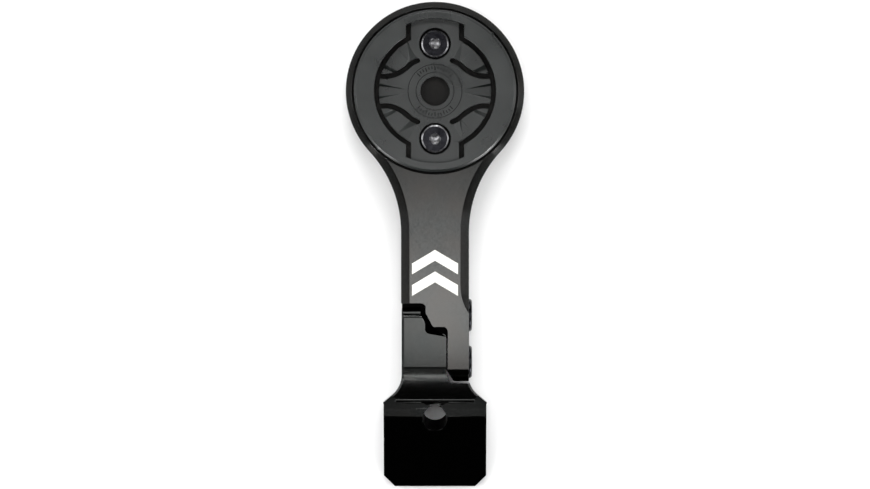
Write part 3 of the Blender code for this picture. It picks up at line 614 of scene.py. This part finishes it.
# A darker copy of the nylon: painted shade standing in for the shadow in engraved lines.
scale_nylon_painted_shade = moulded(
    "scale_nylon_painted_shade",
    dark=(0.0015, 0.0018, 0.0017),
    light=(0.0025, 0.0030, 0.0028),
    rubbed=(0.004, 0.004, 0.004),
    shine=0.12,
)
coat(hub_scale, scale_nylon_painted_shade)
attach(hub_scale, "arm")


# --- Insert screws -------------------------------------------------------------------------------
# Two M3 countersunk screws of alloy steel with a thin black oxide, which hold the insert down.
# Their sockets are forged, with a coned lead and a drilled bottom, and keys have rubbed them bright.
# Their bright steel, on the rims as well, is also a painted highlight for their glints.

FASTENER_EDGE = 0.15 * MM
LEAD_ABOVE = 0.1 * MM
DRILL_POINT = 0.6 * MM
SOCKET_DEPTHS = (0.05 * MM, 2.6 * MM)
RIM_SLOPE = (0.8, 0.98)  # how much of the rim's normal runs along the screw
CONE_STEPS = 36
RIM_STEPS = 64
RIM_ABOVE = 0.2 * MM
SCREW_LEAD = 1.30 * MM
SCREW_DRILL = 1.0 * MM
SCREW_DRILL_FROM = 1.1 * MM
SCREW_SOCKET = 1.25 * MM
SCREW_RIM = (2.62 * MM, 3.2 * MM)
SCREW_RIM_DROP = 0.19 * MM
SCREW_RIM_BRIGHT = 2.55 * MM


def draw_cone(shape, mouth, away, radius, depth):
    """A closed cone with its wide end at the mouth, its point towards away."""
    place = Matrix.Translation(mouth + away * depth / 2) @ away.to_track_quat("Z", "Y").to_matrix().to_4x4()
    size = {"radius1": radius, "radius2": 0, "depth": depth}
    bmesh.ops.create_cone(shape, cap_ends=True, segments=CONE_STEPS, matrix=place, **size)


def draw_rim(shape, top, along, inner, outer, drop):
    """A closed ring that slopes a head's rim, from inner at the top to outer below it."""
    section = ((inner, 0.0), (outer, -drop), (outer, RIM_ABOVE), (inner, RIM_ABOVE))
    place = Matrix.Translation(top) @ along.to_track_quat("Z", "Y").to_matrix().to_4x4()
    turned(shape, section, RIM_STEPS, place)
    bmesh.ops.recalc_face_normals(shape, faces=shape.faces)


def socket_cuts(top, along, lead, drill, drill_from):
    """A coned lead at the socket's mouth and a drill's point in its bottom."""
    mouth = drawn("lead_cut", draw_cone, top + LEAD_ABOVE * along, -along, lead, lead)
    bottom = drawn("drill_cut", draw_cone, top - drill_from * along, -along, drill, DRILL_POINT)
    return [mouth, bottom]


def oxide_steel(name):
    """Black oxide on steel: near black with bright metal on worn edges."""
    material, tree, shader = start_material(name)
    grain = place_group(tree, GRAIN, Grain_per_metre=9000.0, Patches_per_metre=500.0)
    wear = place_group(tree, WEAR, Reach=0.30 * MM)
    colour = mix_colour(tree, grain.outputs["Patches"], (0.006, 0.006, 0.0075), (0.020, 0.020, 0.023))
    colour = mix_colour(tree, wear.outputs["Wear"], colour, (0.28, 0.28, 0.29))
    feed(tree, shader.inputs["Base Color"], colour)
    shader.inputs["Metallic"].default_value = 1.0
    vary_roughness(tree, shader, grain.outputs["Speckle"], smooth=0.18, rough=0.30)
    add_bump(tree, shader, grain.outputs["Relief"], strength=0.2, distance=0.006 * MM)
    return material


def bare_steel_and_glint(name):
    """Bright forged steel where keys have rubbed the oxide off, its brightness also a painted highlight for
    glints.
    """
    material, tree, shader = start_material(name)
    grain = place_group(tree, GRAIN, Grain_per_metre=9000.0, Patches_per_metre=1500.0)
    colour = mix_colour(tree, grain.outputs["Patches"], (0.06, 0.06, 0.062), (0.30, 0.30, 0.31))
    feed(tree, shader.inputs["Base Color"], colour)
    shader.inputs["Metallic"].default_value = 1.0
    vary_roughness(tree, shader, grain.outputs["Speckle"], smooth=0.25, rough=0.40)
    add_bump(tree, shader, grain.outputs["Relief"], strength=0.3, distance=0.008 * MM)
    return material


STEEL = oxide_steel("oxide_steel")
# Partly rubbed steel, partly painted highlight for the glints in sockets and on rims.
BARE_AND_GLINT = bare_steel_and_glint("bare_steel_and_glint")


def fastener(node, body, cuts=()):
    piece = refined(node + "_body", node, FASTENER_EDGE, body, cuts=cuts)
    coat(piece, STEEL)
    return piece


def rub_bright_and_glint(piece, top, along, socket_radius, rim_radius=None):
    """Bares the faces of the socket, and those of the sloped rim outside rim_radius, as rubbed steel and
    painted glint.
    """

    def is_rubbed_or_glinting(face):
        away = Vector(face.center) - top
        depth = -away.dot(along)
        reach = (away + depth * along).length
        in_socket = SOCKET_DEPTHS[0] < depth < SOCKET_DEPTHS[1] and reach < socket_radius
        has_slope = RIM_SLOPE[0] < face.normal.dot(along) < RIM_SLOPE[1]
        return in_socket or (rim_radius is not None and reach > rim_radius and has_slope)

    coat(piece, BARE_AND_GLINT, is_rubbed_or_glinting)


for node in ("insert_screw_front", "insert_screw_rear"):
    low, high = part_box(node)
    top = Vector(((low[0] + high[0]) / 2, (low[1] + high[1]) / 2, high[2]))
    along = Vector((0, 0, 1))
    cuts = socket_cuts(top, along, SCREW_LEAD, SCREW_DRILL, SCREW_DRILL_FROM)
    rim = drawn("rim_cut", draw_rim, top, along, *SCREW_RIM, SCREW_RIM_DROP)
    screw = fastener(node, "arm", cuts + [rim])
    rub_bright_and_glint(screw, top, along, SCREW_SOCKET, SCREW_RIM_BRIGHT)


# --- Lock bolt and pivot bolt ----------------------------------------------------------------------
# Two low-head M4 bolts of the same black steel, put in from the right. The rear one is the tilt axis,
# and the one ahead of it locks the tilt.

BOLT_LEAD = 1.75 * MM
BOLT_DRILL = 1.2 * MM
BOLT_DRILL_FROM = 1.4 * MM
BOLT_SOCKET = 1.6 * MM

for node, body in (("lock_bolt", "arm"), ("pivot_bolt", "base")):
    low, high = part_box(node)
    top = Vector((high[0], (low[1] + high[1]) / 2, (low[2] + high[2]) / 2))
    along = Vector((1, 0, 0))
    bolt = fastener(node, body, socket_cuts(top, along, BOLT_LEAD, BOLT_DRILL, BOLT_DRILL_FROM))
    rub_bright_and_glint(bolt, top, along, BOLT_SOCKET)


# --- Pivot washer ----------------------------------------------------------------------------------
# A plain steel washer with the same oxide, under the pivot bolt's head.

fastener("pivot_washer", "base")


# --- Floor, light and camera -----------------------------------------------------------------------
# A pale floor. A small key in three parts and a wider panel hang above, a thin strip and a low panel
# stand ahead, panels stand at each side and low ones behind. A long lens looks straight down.

FLOOR_RADIUS = 3.0
FLOOR_GAP = 0.02 * MM
VIEW_WIDTH = 185.3 * MM
FOCUS_Z = 9.3 * MM


def draw_floor(shape):
    bmesh.ops.create_circle(shape, cap_ends=True, segments=96, radius=FLOOR_RADIUS)
    bmesh.ops.translate(shape, vec=(0, 0, cad_box[0][2] - FLOOR_GAP), verts=shape.verts)


def make_floor():
    floor = add_piece("floor", drawn("floor", draw_floor))
    material, tree, shader = start_material("pale_floor")
    place = add_node(tree, "TexCoord").outputs["Object"]
    colour = mix_colour(tree, noise(tree, place, 3.0), (0.93, 0.93, 0.93), (0.95, 0.95, 0.95))
    feed(tree, shader.inputs["Base Color"], colour)
    shader.inputs["Roughness"].default_value = 0.9
    shader.inputs["Specular IOR Level"].default_value = 0.1
    coat(floor, material)


def softbox(name, zenith, distance, size, radiance, azimuth=90, aim=(0, 0, 0)):
    """A soft panel facing the part. Zenith runs down from straight up, azimuth from +X towards +Y."""
    data = bpy.data.lights.new(name, "AREA")
    data.shape = "RECTANGLE"
    data.size, data.size_y = size
    data.energy = radiance * math.pi * size[0] * size[1]
    light = add_piece(name, data)
    around = math.radians(azimuth)
    down = math.radians(zenith)
    away = Vector((math.sin(down) * math.cos(around), math.sin(down) * math.sin(around), math.cos(down)))
    light.location = Vector(aim) + away * distance
    light.rotation_euler = away.to_track_quat("Z", "Y").to_euler()
    light.visible_camera = False


def make_world():
    """Pale behind the part, nearly dark as a light."""
    world = bpy.data.worlds.new("studio")
    bpy.context.scene.world = world
    world.use_nodes = True
    tree = world.node_tree
    backdrop = tree.nodes["Background"]
    backdrop.inputs["Color"].default_value = (0.95, 0.95, 0.95, 1.0)
    dim = add_node(tree, "Background")
    dim.inputs["Strength"].default_value = 0.03
    choose = add_node(tree, "MixShader")
    feed(tree, choose.inputs["Fac"], add_node(tree, "LightPath").outputs["Is Camera Ray"])
    feed(tree, choose.inputs[1], dim.outputs["Background"])
    feed(tree, choose.inputs[2], backdrop.outputs["Background"])
    feed(tree, tree.nodes["World Output"].inputs["Surface"], choose.outputs["Shader"])


def make_camera():
    """Straight above, so far up that VIEW_WIDTH fills the picture's width at the focus height."""
    data = bpy.data.cameras.new("camera")
    data.lens = 200
    data.sensor_width = 36
    data.clip_start = 0.05
    data.clip_end = 10
    camera = add_piece("camera", data)
    camera.location = (0, 0, FOCUS_Z + VIEW_WIDTH * data.lens / data.sensor_width)
    bpy.context.scene.camera = camera


make_floor()
softbox("key", zenith=0, distance=0.20, size=(0.030, 0.024), radiance=10.8, aim=(0, -0.0175, 0))
softbox("key_shoulder", zenith=0, distance=0.20, size=(0.034, 0.0155), radiance=5.0, aim=(0, 0.0022, 0))
softbox("key_tail", zenith=0, distance=0.20, size=(0.034, 0.012), radiance=2.4, aim=(0, 0.016, 0))
softbox("overhead", zenith=0, distance=1.50, size=(0.30, 0.165), radiance=2.3, aim=(0, 0.0025, 0))
softbox("front_strip", zenith=19.1, distance=0.60, size=(0.30, 0.009), radiance=74.0)
softbox("front_low", zenith=60, distance=0.90, size=(0.50, 0.34), radiance=9.0)
softbox("left_panel", azimuth=180, zenith=45, distance=0.85, size=(0.50, 1.00), radiance=3.6)
softbox("right_panel", azimuth=0, zenith=45, distance=0.85, size=(0.50, 1.00), radiance=2.6)
softbox("left_low", azimuth=180, zenith=80, distance=1.10, size=(0.34, 1.20), radiance=0.8)
softbox("right_low", azimuth=0, zenith=80, distance=1.10, size=(0.34, 1.20), radiance=1.8)
softbox("left_rear_low", azimuth=228, zenith=80, distance=1.10, size=(0.34, 0.50), radiance=12.0)
softbox("right_rear_low", azimuth=312, zenith=80, distance=1.10, size=(0.34, 0.50), radiance=20.0)
make_world()
make_camera()
bpy.context.scene.view_settings.view_transform = "Standard"
